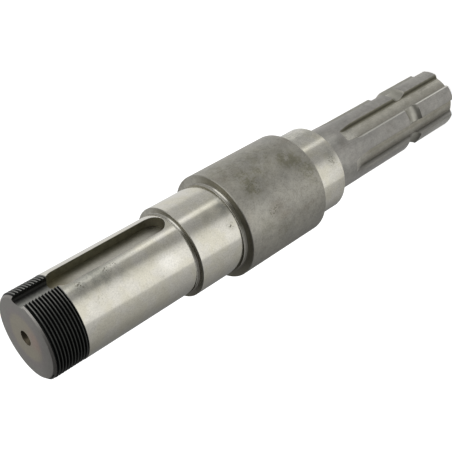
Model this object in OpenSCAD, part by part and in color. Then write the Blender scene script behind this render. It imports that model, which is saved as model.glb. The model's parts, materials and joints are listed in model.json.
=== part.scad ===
// Drive shaft, turned from one bar. It stands on its splined end, threaded end up.
// The axis is +Z, z = 0 is the splined end face, and the keyway faces -Y.

/* [Thread] */
// Nominal diameter of the thread
thread_d = 40; // [36:0.5:40]
// Pitch of the thread
thread_pitch = 1.5; // [1:0.25:2]
// Length of the threaded end
thread_len = 16.8; // [12:0.1:30]
// How much the crests lie under the nominal size, on the diameter
thread_undersize = 0.2; // [0.1:0.05:0.4]
// Chamfer at the threaded end, 45 degrees
thread_chamfer = 1.3; // [0.5:0.1:2]

/* [Keyed seat] */
// Diameter of the keyed seat
key_seat_d = 40; // [36:0.5:40]
// Length of the keyed seat
key_seat_len = 60.2; // [50:0.1:90]
// Width of the relief groove at the seat's shoulder
key_relief_w = 1.6; // [1.4:0.1:2]

/* [Keyway] */
// Width of the keyway
key_w = 12; // [9:0.5:14]
// Depth of the keyway, from the outside of the seat
key_depth = 5; // [3.5:0.1:6]
// Plain land left between the keyway's round end and the shoulder
key_land = 2.1; // [1.7:0.1:6]
// Length of the keyway over both round ends
key_len = 60; // [40:0.5:60]

/* [Lock washer slot] */
// Width of the slot through the thread
slot_w = 8; // [4:0.5:9]
// Depth of the slot, from the outside of the keyed seat
slot_depth = 3; // [1.5:0.1:3.4]

/* [Front bearing seat] */
// Diameter of the front bearing seat
front_seat_d = 45; // [43:0.5:50]
// Length of the front bearing seat
front_seat_len = 27.5; // [15:0.1:50]
// Width of the relief groove at the collar
front_relief_w = 2; // [1.4:0.1:2.5]

/* [Collar] */
// Diameter of the rough-turned collar
collar_d = 53; // [53:0.5:65]
// Length of the collar
collar_len = 50.8; // [20:0.1:80]
// Chamfer on the collar's two edges
collar_chamfer = 0.3; // [0.2:0.1:1]

/* [Rear bearing seat] */
// Diameter of the rear bearing seat
rear_seat_d = 45; // [42:0.5:50]
// Length of the rear bearing seat
rear_seat_len = 19.7; // [12:0.1:40]
// Width of the relief groove at the collar
rear_relief_w = 2; // [1.4:0.1:2.5]

/* [Seat edges and reliefs] */
// Chamfer on the outer edge of each ground seat
seat_chamfer = 0.3; // [0.2:0.1:0.8]
// Depth of the relief grooves
relief_depth = 0.4; // [0.2:0.1:0.4]
// Corner radius at the foot of the relief grooves, more than their depth
relief_r = 0.5; // [0.45:0.05:0.6]

/* [Splined end] */
// Outside diameter of the splines
spline_d = 34.79; // [32:0.01:36]
// Diameter at the floor of the spline gaps
spline_minor_d = 28.91; // [26:0.01:30]
// Number of teeth
spline_teeth = 6; // [5:1:7]
// Width of a tooth
tooth_w = 8.6; // [6:0.1:9]
// Length of the splined end, from its face to the rear bearing seat
spline_end_len = 107; // [100:0.5:140]
// Length of the spline gaps, from the end face to where the cutter leaves the shaft
gap_len = 91; // [70:0.5:93]
// Radius of the milling cutter that runs out at the end of each gap
cutter_r = 25; // [15:1:40]
// Fillet where the splined end meets the rear bearing seat
neck_fillet = 1.5; // [0.5:0.1:2]
// Turn of the splines from the keyway, about the axis
spline_turn = 2.5; // [-30:0.5:30]
// Length of the chamfer at the splined end, along the axis
end_chamfer_len = 2.5; // [1:0.1:4]
// Angle of that chamfer to the axis
end_chamfer_angle = 60; // [30:1:62]

/* [Locking groove] */
// Radius of the round groove across the splines
groove_r = 6.8; // [5:0.1:8]
// Diameter at the bottom of the groove
groove_bottom_d = 29.4; // [29:0.1:32]
// Distance from the end face to the middle of the groove
groove_at = 38; // [20:0.5:50]

/* [Centre holes] */
// Diameter of the pilot hole
pilot_d = 3.15; // [2:0.05:4]
// Depth of the pilot hole, from the end face
pilot_depth = 8; // [6:0.5:12]
// Diameter of the 60 degree countersink at the face
countersink_d = 7; // [5:0.1:9]

/* [Hidden] */
$fn = 96;

// How far a cutter reaches past the metal
reach = 1;

// Where the turned surfaces close on themselves, clear of the keyway
seam_turn = 45;

// Radii
spline_r = spline_d / 2;
minor_r = spline_minor_d / 2;
rear_r = rear_seat_d / 2;
collar_r = collar_d / 2;
front_r = front_seat_d / 2;
key_seat_r = key_seat_d / 2;
crest_r = (thread_d - thread_undersize) / 2;

// Shoulders, from the splined end up
rear_z = spline_end_len;
collar_z = rear_z + rear_seat_len;
front_z = collar_z + collar_len;
key_seat_z = front_z + front_seat_len;
thread_z = key_seat_z + key_seat_len;
top_z = thread_z + thread_len;

// Thread form, its flanks 30 degrees from square, an eighth of the pitch flat on the crest
half_angle = 30;
thread_depth = 0.6134 * thread_pitch;
groove_mouth = 7 / 8 * thread_pitch;
flank_rise = thread_depth * tan(half_angle);
turns = floor((thread_len - thread_chamfer) / thread_pitch);

// End chamfer of the splines
end_face_r = spline_r - end_chamfer_len * tan(end_chamfer_angle);

// Taper that leads into each relief groove
relief_taper = relief_depth / tan(half_angle);

// Steps along a fillet, and along the floor of a spline gap
arc_steps = 6;
floor_steps = 8;

// Arc points of a circle about [r, z], from angle a to angle b
function arc(r, z, radius, a, b) = [
    for (i = [0:arc_steps])
        let (t = a + (b - a) * i / arc_steps) [r + radius * cos(t), z + radius * sin(t)]
];

// Shoulder that faces up at z, from outer radius ro in to a seat of radius ri that rises from it
function shoulder_up(ro, ri, z, w, chamfer) = concat(
    [[ro, z - chamfer], [ro - chamfer, z]],
    arc(ri - relief_depth + relief_r, z + relief_r, relief_r, 270, 180),
    [[ri - relief_depth, z + w - relief_taper], [ri, z + w]]
);

// Shoulder that faces down at z, from a seat of radius ri below it out to outer radius ro
function shoulder_down(ri, ro, z, w, chamfer) = concat(
    [[ri, z - w], [ri - relief_depth, z - w + relief_taper]],
    arc(ri - relief_depth + relief_r, z - relief_r, relief_r, 180, 90),
    [[ro - chamfer, z], [ro, z + chamfer]]
);

// One turn of the thread as a ring, its groove starting at z
function thread_ring(z) = [
    [crest_r, z],
    [crest_r - thread_depth, z + flank_rise],
    [crest_r - thread_depth, z + groove_mouth - flank_rise],
    [crest_r, z + groove_mouth]
];

// Half of the shaft's section, from the splined end up
function shaft_outline() = concat(
    [[0, 0], [end_face_r, 0], [spline_r, end_chamfer_len]],
    arc(spline_r + neck_fillet, rear_z - neck_fillet, neck_fillet, 180, 90),
    [[rear_r - seat_chamfer, rear_z], [rear_r, rear_z + seat_chamfer]],
    shoulder_down(rear_r, collar_r, collar_z, rear_relief_w, collar_chamfer),
    shoulder_up(collar_r, front_r, front_z, front_relief_w, collar_chamfer),
    shoulder_up(front_r, key_seat_r, key_seat_z, key_relief_w, seat_chamfer),
    [[key_seat_r, thread_z]],
    [for (i = [0:turns - 1]) each thread_ring(thread_z + i * thread_pitch)],
    [[crest_r, top_z - thread_chamfer], [crest_r - thread_chamfer, top_z], [0, top_z]]
);

// Half width of a spline gap at height y over the axis
function gap_half(y) = y * tan(180 / spline_teeth) - tooth_w / 2 / cos(180 / spline_teeth);

// Section of a spline gap that opens toward +Y, its floor on the minor circle
module gap_section() {
    floor_half = 180 / spline_teeth - asin(tooth_w / 2 / minor_r);
    mouth_y = spline_r + reach;
    polygon(concat(
        [
            for (i = [0:floor_steps])
                let (t = floor_half * (2 * i / floor_steps - 1)) [minor_r * sin(t), minor_r * cos(t)]
        ],
        [[gap_half(mouth_y), mouth_y], [-gap_half(mouth_y), mouth_y]]
    ));
}

// What the cutter takes out for one spline gap: a straight pass, then its run-out
module spline_gap() {
    cutter_y = minor_r + cutter_r;
    runout_len = sqrt(pow(cutter_r, 2) - pow(cutter_y - spline_r, 2));
    runout_angle = acos((cutter_y - spline_r - reach) / cutter_r);
    straight_len = gap_len - runout_len;
    translate([0, 0, -reach])
        linear_extrude(height = straight_len + reach)
            gap_section();
    translate([0, cutter_y, straight_len])
        rotate([0, -90, 0])
            rotate([0, 0, -90])
                rotate_extrude(angle = runout_angle)
                    translate([cutter_y, 0])
                        rotate([0, 0, 90])
                            gap_section();
}

// 60 degree centre hole, opening downward at z = 0
module centre_hole() {
    countersink_depth = (countersink_d - pilot_d) / 2 / tan(half_angle);
    translate([0, 0, -reach])
        cylinder(d = pilot_d, h = pilot_depth + reach);
    cylinder(d1 = countersink_d, d2 = pilot_d, h = countersink_depth);
}

// Keyway with two round ends, cut from the -Y side
module keyway() {
    end_z = key_seat_z + key_land;
    floor_y = key_seat_r - key_depth;
    for (z = [end_z + key_w / 2, end_z + key_len - key_w / 2])
        translate([0, -floor_y, z])
            rotate([90, 0, 0])
                cylinder(d = key_w, h = key_depth + reach);
    translate([-key_w / 2, -key_seat_r - reach, end_z + key_w / 2])
        cube([key_w, key_depth + reach, key_len - key_w]);
}

// Slot through the thread for the lock washer's tab, running into the keyway
module lock_slot() {
    start_z = key_seat_z + key_land + key_len - key_w / 2;
    translate([-slot_w / 2, -key_seat_r - reach, start_z])
        cube([slot_w, slot_depth + reach, top_z - start_z + reach]);
}

// Round groove across the splines
module locking_groove() {
    translate([0, 0, groove_at])
        rotate_extrude()
            translate([groove_bottom_d / 2 + groove_r, 0])
                circle(r = groove_r);
}

module drive_shaft() {
    color([0.58, 0.57, 0.54])
        difference() {
            rotate([0, 0, seam_turn])
                rotate_extrude()
                    polygon(shaft_outline());
            locking_groove();
            for (i = [0:spline_teeth - 1])
                rotate([0, 0, 180 + spline_turn + (i + 0.5) * 360 / spline_teeth])
                    spline_gap();
            keyway();
            lock_slot();
            centre_hole();
            translate([0, 0, top_z])
                mirror([0, 0, 1])
                    centre_hole();
        }
}

drive_shaft();
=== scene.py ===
"""Drive shaft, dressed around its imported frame: the turned and milled body, its finishes and the studio."""

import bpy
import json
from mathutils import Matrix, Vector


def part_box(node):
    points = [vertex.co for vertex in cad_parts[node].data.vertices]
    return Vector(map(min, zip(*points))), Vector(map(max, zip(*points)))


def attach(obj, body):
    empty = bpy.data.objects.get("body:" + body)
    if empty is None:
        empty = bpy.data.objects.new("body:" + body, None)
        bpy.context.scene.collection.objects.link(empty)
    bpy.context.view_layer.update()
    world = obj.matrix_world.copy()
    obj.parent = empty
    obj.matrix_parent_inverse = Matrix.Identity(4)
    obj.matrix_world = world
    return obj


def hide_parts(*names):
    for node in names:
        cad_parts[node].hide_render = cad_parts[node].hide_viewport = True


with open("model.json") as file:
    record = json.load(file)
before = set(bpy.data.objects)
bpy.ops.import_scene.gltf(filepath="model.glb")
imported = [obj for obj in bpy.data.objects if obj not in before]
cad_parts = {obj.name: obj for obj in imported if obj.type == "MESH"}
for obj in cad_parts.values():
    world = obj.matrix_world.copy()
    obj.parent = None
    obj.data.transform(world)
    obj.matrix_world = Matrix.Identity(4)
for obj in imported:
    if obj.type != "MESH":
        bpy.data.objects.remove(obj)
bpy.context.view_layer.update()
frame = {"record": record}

import json
import logging
import math
from dataclasses import dataclass, field
from enum import Enum
from typing import Any, Callable, Iterable, Sequence

import bmesh
import bpy
from mathutils import Matrix, Vector

log = logging.getLogger("drive_shaft")

NODE = "drive_shaft"
MM = 0.001
COLUMNS = 360  # facets around every turned surface
WELD = 2e-6  # points closer than this are one point
SHARP_ANGLE = math.radians(22)
FINISH_MARK = "finish"  # face attribute with the number of the face's finish

RELIEF_R = 22.1  # radius of the relief grooves beside the collar
UPPER_RELIEF_R = 19.6  # radius of the one at the keyed seat's foot
UPPER_RELIEF_FROM = 190.0  # height over which a shoulder belongs to the upper one
ACROSS_MARKS = 0.25  # turn of the anisotropy that draws gloss out across marks left around the shaft
GRAIN_PER_M = 1300.0  # repeats per metre of the finest grain in the steel
MOTTLE_PER_M = 330.0  # repeats per metre of its coarser mottling

Tone = tuple[float, float, float]
Point = tuple[float, float, float]
Panels = tuple[tuple[float, float], ...]
WHITE: Tone = (1.0, 1.0, 1.0)


class Finish(Enum):
    """The finishes that a shop would call out on the drawing, one material each; several carry painted light
    and shade.
    """

    GROUND = "ground_seat"
    ROUGH_TURNED = "rough_turned_collar"
    FACED = "faced_shoulder"
    RELIEF = "relief_fillet"
    UNDERCUT = "relief_undercut"
    GROOVE = "locking_groove"
    RIM = "turned_rim"
    EDGE = "key_edge"
    BURR = "burred_tooth_edge"
    FLANK = "tooth_flank"
    BLACK_THREAD = "black_thread"
    THREAD_EDGE = "worn_thread_edge"
    TINTED_END = "heat_tinted_end"
    CENTRE = "centre_hole"
    KEY_FLOOR = "keyway_floor"
    KEY_WALL = "keyway_wall"
    SLOT = "black_slot"
    SPLINE = "turned_spline"
    GAP_FLOOR = "milled_gap_floor"
    GAP_WALL = "milled_gap_wall"

    @property
    def index(self) -> int:
        """Place of the finish in every mesh's material list."""
        return list(Finish).index(self)


Materials = dict[Finish, bpy.types.Material]


def mount(name: str) -> dict[str, Any]:
    """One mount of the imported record, its place in metres and its sizes in millimetres."""
    return next(m for m in frame["record"]["mounts"] if m["name"] == name)


def height_of(name: str) -> float:
    """Height of a mount over the floor, in millimetres."""
    return mount(name)["pos_m"][2] / MM


def wall_of(name: str) -> tuple[float, float, float]:
    """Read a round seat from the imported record.

    Args:
        name: The mount's name.

    Returns:
        Its radius, and the heights at which its plain wall starts and ends, in millimetres.
    """
    sizes = mount(name)["dims"]
    middle, half = height_of(name), sizes["length_mm"] / 2
    return sizes["r_mm"], middle - half, middle + half


def shade(tone: Tone, factor: float) -> Tone:
    """A tone made darker or lighter by a factor."""
    return tuple(c * factor for c in tone)


def opaque(colour: Any) -> Any:
    """A tone with full alpha for a colour socket, or a signal as it is."""
    return (*colour, 1.0) if isinstance(colour, tuple) else colour


def linked(name: str, data: Any) -> bpy.types.Object:
    """A new object in the scene."""
    made = bpy.data.objects.new(name, data)
    bpy.context.scene.collection.objects.link(made)
    return made


# Node graphs


def math_node(operation: str, reflected: bool = False) -> Callable[..., "Signal"]:
    """Make a method of Signal that adds a Math node.

    Args:
        operation: The node's operation.
        reflected: Whether the signal is the last value, as it is on the right of a number.

    Returns:
        The method.
    """

    def method(signal: "Signal", *others: Any) -> "Signal":
        """Add the node for the signal and the other values."""
        return signal.graph.math(operation, *((*others, signal) if reflected else (signal, *others)))

    return method


class Signal:
    """A socket on its way through a node tree, so that plain Python operators add Math nodes."""

    def __init__(self, graph: "Graph", socket: bpy.types.NodeSocket) -> None:
        """Wrap one output socket of a graph."""
        self.graph = graph
        self.socket = socket

    __add__ = math_node("ADD")
    __radd__ = math_node("ADD", reflected=True)
    __sub__ = math_node("SUBTRACT")
    __rsub__ = math_node("SUBTRACT", reflected=True)
    __mul__ = math_node("MULTIPLY")
    __rmul__ = math_node("MULTIPLY", reflected=True)
    __truediv__ = math_node("DIVIDE")
    __rtruediv__ = math_node("DIVIDE", reflected=True)
    at_least = math_node("MAXIMUM")
    at_most = math_node("MINIMUM")
    floor = math_node("FLOOR")
    cos = math_node("COSINE")
    sin = math_node("SINE")
    size = math_node("ABSOLUTE")
    root = math_node("SQRT")

    def clamped(self) -> "Signal":
        """The value kept between 0 and 1."""
        return self.at_least(0.0).at_most(1.0)

    def ramp(self, low: float, high: float) -> "Signal":
        """Rise smoothly from 0 at low to 1 at high, or fall where low is the larger.

        Args:
            low: The value that gives 0.
            high: The value that gives 1.

        Returns:
            The smooth step.
        """
        if low > high:
            return 1.0 - self.ramp(high, low)
        values = {"Value": self, "From Min": low, "From Max": high}
        node = self.graph.node("ShaderNodeMapRange", {"interpolation_type": "SMOOTHSTEP"}, values)
        return self.graph.out(node, "Result")


class Graph:
    """A node tree being drawn, for shaders and for geometry alike."""

    def __init__(self, tree: bpy.types.NodeTree) -> None:
        """Start on an empty tree."""
        self.tree = tree
        tree.nodes.clear()

    def plug(self, socket: bpy.types.NodeSocket, value: Any) -> None:
        """Link a signal to a socket, or write a constant on it.

        Args:
            socket: The input socket.
            value: A Signal, an output socket or a constant.
        """
        source = value.socket if isinstance(value, Signal) else value
        if isinstance(source, bpy.types.NodeSocket):
            self.tree.links.new(source, socket)
        else:
            socket.default_value = source

    def node(
        self, kind: str, settings: dict[str, Any] | None = None, inputs: dict[Any, Any] | None = None
    ) -> bpy.types.Node:
        """Add a node.

        Args:
            kind: The node's type name.
            settings: Its own properties, set before its sockets. "stops" fills a colour ramp.
            inputs: Values or links for its sockets, by name or number.

        Returns:
            The node.
        """
        made = self.tree.nodes.new(kind)
        for name, value in (settings or {}).items():
            if name == "stops":
                self._fill_ramp(made.color_ramp, value)
            else:
                setattr(made, name, value)
        for name, value in (inputs or {}).items():
            self.plug(made.inputs[name], value)
        return made

    @staticmethod
    def _fill_ramp(ramp: bpy.types.ColorRamp, stops: list[tuple[float, Tone]]) -> None:
        """Write a colour ramp's stops.

        Args:
            ramp: The node's ramp.
            stops: Place and colour of each stop, in order.
        """
        while len(ramp.elements) < len(stops):
            ramp.elements.new(1.0)
        for element, (place, tone) in zip(ramp.elements, stops, strict=True):
            element.position = place
            element.color = opaque(tone)

    def out(self, node: bpy.types.Node, name: Any = 0) -> Signal:
        """One output of a node as a signal."""
        return Signal(self, node.outputs[name])

    def math(self, operation: str, *values: Any) -> Signal:
        """Add a Math node."""
        return self.out(self.node("ShaderNodeMath", {"operation": operation}, dict(enumerate(values))))

    def vector(self, x: Any, y: Any, z: Any) -> Signal:
        """Join three values into a vector."""
        return self.out(self.node("ShaderNodeCombineXYZ", {}, {"X": x, "Y": y, "Z": z}))

    def split(self, vector: Any) -> tuple[Signal, Signal, Signal]:
        """Take a vector apart into x, y and z."""
        node = self.node("ShaderNodeSeparateXYZ", {}, {"Vector": vector})
        return self.out(node, "X"), self.out(node, "Y"), self.out(node, "Z")

    def distance(self, a: Any, b: Any) -> Signal:
        """Distance between two points."""
        return self.out(self.node("ShaderNodeVectorMath", {"operation": "DISTANCE"}, {0: a, 1: b}), "Value")

    def noise(self, vector: Any, scale: float, detail: float, roughness: float) -> Signal:
        """Noise between 0 and 1.

        Args:
            vector: Where to read it.
            scale: Repeats per metre of the vector.
            detail: Octaves.
            roughness: Weight of the finer octaves.

        Returns:
            The noise value.
        """
        values = {"Vector": vector, "Scale": scale, "Detail": detail, "Roughness": roughness}
        return self.out(self.node("ShaderNodeTexNoise", {}, values), "Fac")

    def tones(self, value: Any, stops: list[tuple[float, Tone]]) -> Signal:
        """Turn a value between 0 and 1 into a colour."""
        return self.out(self.node("ShaderNodeValToRGB", {"stops": stops}, {"Fac": value}), "Color")

    def mix(self, factor: Any, a: Any, b: Any, blend: str = "MIX") -> Signal:
        """Mix two colours.

        Args:
            factor: 0 gives a, 1 gives b.
            a: A colour signal or tone.
            b: A colour signal or tone.
            blend: Blender's blend type.

        Returns:
            The mixed colour.
        """
        values = {"Factor": factor, 6: opaque(a), 7: opaque(b)}
        return self.out(self.node("ShaderNodeMix", {"data_type": "RGBA", "blend_type": blend}, values), 2)

    def by_camera(self, others: bpy.types.Node, camera: bpy.types.Node) -> bpy.types.Node:
        """Show one shader to the camera and the other to everything else."""
        seen = self.node("ShaderNodeLightPath").outputs["Is Camera Ray"]
        return self.node("ShaderNodeMixShader", {}, {0: seen, 1: others.outputs[0], 2: camera.outputs[0]})

    def close(self, shader: bpy.types.Node, kind: str = "ShaderNodeOutputMaterial") -> None:
        """Hand a shader to the output."""
        self.node(kind, {}, {"Surface": shader.outputs[0]})


def new_material(name: str) -> tuple[bpy.types.Material, Graph]:
    """A new material, and the graph to draw it with."""
    material = bpy.data.materials.new(name)
    material.use_nodes = True
    return material, Graph(material.node_tree)


# Finishes


class SteelShader:
    """One steel finish being drawn: tones laid over each other by place, then gloss and bump."""

    def __init__(self, finish: Finish) -> None:
        """Start the finish's material, and read where its points lie.

        Args:
            finish: The finish that it is for.
        """
        self.material, self.graph = new_material(finish.value)
        self.place = self.graph.out(self.graph.node("ShaderNodeTexCoord"), "Object")
        self.x, self.y, self.z = self.graph.split(self.place)
        self.radius = (self.x * self.x + self.y * self.y).root()
        self.colour: Any = WHITE

    def lay(self, mask: Any, tone: Any) -> None:
        """Lay a tone over the colour where a mask says."""
        self.colour = self.graph.mix(mask, self.colour, tone)

    def grain(self, scale: float, detail: float = 2.0, roughness: float = 0.6) -> Signal:
        """Noise that is the same in every direction, with its repeats per metre."""
        return self.graph.noise(self.place, scale, detail, roughness)

    def marks(self, around: float, along: float, detail: float = 2.0, roughness: float = 0.6) -> Signal:
        """Noise drawn out along tool marks.

        Args:
            around: Repeats per metre across the axis.
            along: Repeats per metre along the axis.
            detail: Octaves.
            roughness: Weight of the finer octaves.

        Returns:
            The noise value.
        """
        drawn = self.graph.vector(self.x * around, self.y * around, self.z * along)
        return self.graph.noise(drawn, 1.0, detail, roughness)

    def facing_rings(self, per_metre: float) -> Signal:
        """Rings that a facing tool leaves around the axis."""
        return self.graph.noise(self.graph.vector(self.radius * per_metre, 0.0, 0.0), 1.0, 2.0, 0.7)

    def share_of_pitch(self, count: int, turn: float) -> Signal:
        """How far a point is from one tooth to the next, from 0 to 1.

        Args:
            count: Teeth around the shaft.
            turn: Heading of one tooth's middle, in degrees.

        Returns:
            The share, 0.5 in the middle of a gap.
        """
        angle = self.graph.math("ARCTAN2", self.y, self.x)
        turned = (angle - math.radians(turn)) * (count / (2 * math.pi))
        return turned - turned.floor()

    def between(self, value: Signal, low: float, high: float) -> Signal:
        """A smooth step over a length, from 0 at low to 1 at high, in millimetres."""
        return value.ramp(low * MM, high * MM)

    def up(self, low: float, high: float) -> Signal:
        """A smooth step along the shaft, between two heights."""
        return self.between(self.z, low, high)

    def outward(self, low: float, high: float) -> Signal:
        """A smooth step outward, between two radii."""
        return self.between(self.radius, low, high)

    def towards(self, heading: float) -> Signal:
        """How far a point lies from the axis towards a heading, in metres."""
        turn = math.radians(heading)
        return self.x * math.cos(turn) + self.y * math.sin(turn)

    def facing(self, heading: float, low: float, high: float) -> Signal:
        """How much a point's side of the shaft faces a heading, from 0 at cosine low to 1 at high."""
        return (self.towards(heading) / self.radius).ramp(low, high)

    def above_floor(self, low: float, high: float) -> Signal:
        """A smooth step outward from the floor of the relief groove at a point's height."""
        upper = self.up(UPPER_RELIEF_FROM, UPPER_RELIEF_FROM + 1.0)
        floor = RELIEF_R * MM - upper * ((RELIEF_R - UPPER_RELIEF_R) * MM)
        return self.between(self.radius - floor, low, high)

    def beside(self, x: float, y: float) -> Signal:
        """Distance from a line along the shaft, in metres."""
        return self.graph.distance(self.graph.vector(self.x, self.y, 0.0), (x, y, 0.0))

    def spot_cover(self, spots: Iterable["Stain"], start: float = 0.0) -> Signal:
        """How much a group of spots covers a point, on top of a start value."""
        return sum((spot.mask(self) for spot in spots), start)

    def weather(self, fine: float, coarse: float) -> None:
        """Break the colour up.

        Args:
            fine: Share by which fine grain darkens and lightens it.
            coarse: Share by which coarser mottling does.
        """
        grain, mottle = self.grain(GRAIN_PER_M, 2.0, 0.7), self.grain(MOTTLE_PER_M, 3.0, 0.65)
        level = 1.0 + (grain - 0.5) * (2 * fine) + (mottle - 0.5) * (2 * coarse)
        self.colour = self.graph.mix(1.0, self.colour, self.graph.vector(level, level, level), "MULTIPLY")

    def close(
        self, roughness: Any, height: Signal, depth: float, metallic: Any = 1.0, anisotropy: float = 0.0
    ) -> None:
        """Close the material with its shader.

        Args:
            roughness: Roughness, a number or a signal.
            height: Bump height from 0 to 1.
            depth: Depth of the bump, in millimetres.
            metallic: Metallic, a number or a signal.
            anisotropy: How much the gloss is drawn out by the tool marks.
        """
        relief = {"Height": height, "Distance": depth * MM, "Strength": 1.0}
        values = {
            "Base Color": opaque(self.colour),
            "Roughness": roughness,
            "Metallic": metallic,
            "Anisotropic": anisotropy,
            "Anisotropic Rotation": ACROSS_MARKS,
            "Normal": self.graph.node("ShaderNodeBump", {}, relief).outputs["Normal"],
        }
        self.graph.close(self.graph.node("ShaderNodeBsdfPrincipled", {}, values))


@dataclass(frozen=True)
class Stain:
    """A round spot on a turned surface, used for clusters of pits, dull, stained and pale patches, and for
    painted sheens, glares and painted shade.
    """

    surface_r: float
    height: float
    heading: float
    spread: float
    strength: float

    def place(self) -> Point:
        """Middle of the spot, in metres."""
        angle = math.radians(self.heading)
        x, y = self.surface_r * math.cos(angle), self.surface_r * math.sin(angle)
        return x * MM, y * MM, self.height * MM

    def mask(self, s: SteelShader) -> Signal:
        """How much of the spot covers a point, from 0 to its strength."""
        return s.between(s.graph.distance(s.place, self.place()), self.spread, 0.0) * self.strength


def spots_on(surface_r: float, *spots: tuple[float, float, float, float]) -> tuple[Stain, ...]:
    """Spots on one turned surface, from the height, heading, spread and strength of each."""
    return tuple(Stain(surface_r, *spot) for spot in spots)


@dataclass(frozen=True)
class PlainSteel:
    """A steel finish with soft mottling and fine marks around the shaft."""

    tone: Tone
    roughness: float
    mark_depth: float = 0.002
    mottle: float = 0.15
    mottle_per_m: float = 300.0
    marks_per_m: float = 2000.0

    def draw(self, s: SteelShader) -> None:
        """Draw the mottling and the marks.

        Args:
            s: The shader.
        """
        blotch = s.grain(self.mottle_per_m, 3.0)
        s.colour = shade(self.tone, 1 - self.mottle)
        s.lay(blotch.ramp(0.3, 0.7), shade(self.tone, 1 + self.mottle))
        s.close(self.roughness * (0.85 + 0.3 * blotch), s.marks(60.0, self.marks_per_m), self.mark_depth)


@dataclass(frozen=True)
class FacedSteel:
    """Shoulder faces: turned, with light and shade painted by heading: painted shade, deeper on the lower
    side, a paler inner ring on one side, a painted highlight on that ring on another, and a painted lit side.
    """

    lit_tone: Tone = (0.54, 0.525, 0.47)
    painted_shade: Tone = (0.2, 0.19, 0.15)
    pale_patch: Tone = (0.2, 0.19, 0.165)
    roughness: float = 0.45
    lit_heading: float = -20.0
    pale_ring_heading: float = 155.0
    highlight_heading: float = -107.5
    lower_shade_heading: float = 132.0

    def draw(self, s: SteelShader) -> None:
        """Lay the painted shade, the paler inner ring, the painted highlight and the painted lit side.

        Args:
            s: The shader.
        """
        ring = s.above_floor(1.5, 0.8)
        # Painted shade all over, deeper on the lower side.
        s.colour = self.painted_shade
        s.lay(s.facing(self.lower_shade_heading, 0.7, 0.97) * 0.25, shade(self.painted_shade, 0.3))
        # A paler inner ring, painted on one side.
        s.lay(ring * s.facing(self.pale_ring_heading, 0.57, 0.77), self.pale_patch)
        # Painted highlight on the inner ring.
        s.lay(ring * s.facing(self.highlight_heading, 0.9, 0.99) * 0.45, self.lit_tone)
        # Painted lit side.
        s.lay(s.facing(self.lit_heading, 0.3, 0.95), self.lit_tone)
        s.lay(s.grain(200.0, 3.0).ramp(0.45, 0.7) * 0.3, self.painted_shade)
        s.weather(0.2, 0.25)
        s.close(self.roughness, s.facing_rings(2500.0), 0.002, anisotropy=0.6)


@dataclass(frozen=True)
class ReliefSteel:
    """Relief grooves at the feet of the seats, their light painted by heading: a painted lit side, painted
    shade, then a painted greyer side.
    """

    lit_tone: Tone = (0.36, 0.35, 0.31)
    painted_shade: Tone = (0.08, 0.076, 0.056)
    grey: Tone = (0.16, 0.152, 0.132)
    glint: Tone = (0.88, 0.86, 0.78)
    taper: Tone | None = None
    roughness: float = 0.4
    lit_heading: float = -65.0
    grey_heading: float = 155.0
    glint_heading: float = -107.5

    def draw(self, s: SteelShader) -> None:
        """Lay the painted lit, shaded and greyer sides of the groove, then the painted highlight on its pale
        taper or the painted glint in its fillet.

        Args:
            s: The shader.
        """
        # Painted shade, with painted lit and greyer sides by heading.
        s.colour = self.painted_shade
        s.lay(s.facing(self.lit_heading, 0.42, 0.67), self.lit_tone)
        s.lay(s.facing(self.grey_heading, 0.57, 0.77), self.grey)
        # The pale taper and the glint are painted highlights.
        if self.taper:
            s.lay(s.above_floor(0.03, 0.12), self.taper)
        else:
            s.lay(s.facing(self.glint_heading, 0.966, 0.999), self.glint)
        s.weather(0.15, 0.15)
        s.close(self.roughness, s.grain(900.0), 0.001, 0.1)


@dataclass(frozen=True)
class ToothFlank:
    """The flanks of the teeth over the gaps: a painted lit side on the front tooth, painted shade at the foot
    of the others.
    """

    lit_side: Tone = (0.56, 0.545, 0.48)
    grey: Tone = (0.35, 0.34, 0.315)
    painted_shade: Tone = (0.13, 0.125, 0.105)
    roughness: float = 0.42
    lit_flank_heading: float = -130.0
    foot_shade_r: float = 14.8
    grey_r: float = 16.4

    def draw(self, s: SteelShader) -> None:
        """Lay the painted shade at the foot, and the painted lit front tooth over it.

        Args:
            s: The shader.
        """
        lit_side = s.between(s.towards(self.lit_flank_heading), 9.0, 13.0)
        foot = s.outward(self.grey_r, self.foot_shade_r)
        s.colour = self.grey
        # Painted shade at the foot of the flanks.
        s.lay(foot * 0.85, self.painted_shade)
        # Painted lit side on the front tooth, a little shaded at its foot.
        s.lay(lit_side, s.graph.mix(foot * 0.6, self.lit_side, self.painted_shade))
        s.weather(0.15, 0.15)
        s.close(self.roughness, s.marks(1500.0, 45.0), 0.003, 1.0 - 0.85 * lit_side)


@dataclass(frozen=True)
class BurredEdge:
    """The corners of the splines: a painted highlight on the corners that face one heading, weaker up the
    shaft, dull elsewhere.
    """

    bright: Tone = (0.86, 0.85, 0.78)
    dull: Tone = (0.25, 0.245, 0.22)
    heading: float = -133.0
    bright_below: float = 34.0
    duller_above: float = 46.0

    def draw(self, s: SteelShader) -> None:
        """Lay the painted highlight on the corners over the dull ones.

        Args:
            s: The shader.
        """
        # Painted highlight on the corners facing the heading, weaker up the shaft.
        above = s.up(self.bright_below, self.duller_above)
        bright = s.between(s.towards(self.heading), 12.0, 15.0) * (1.0 - 0.35 * above)
        s.colour = self.dull
        s.lay(bright, self.bright)
        s.weather(0.15, 0.15)
        s.close(0.42 - 0.1 * bright, s.grain(900.0), 0.001)


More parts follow.
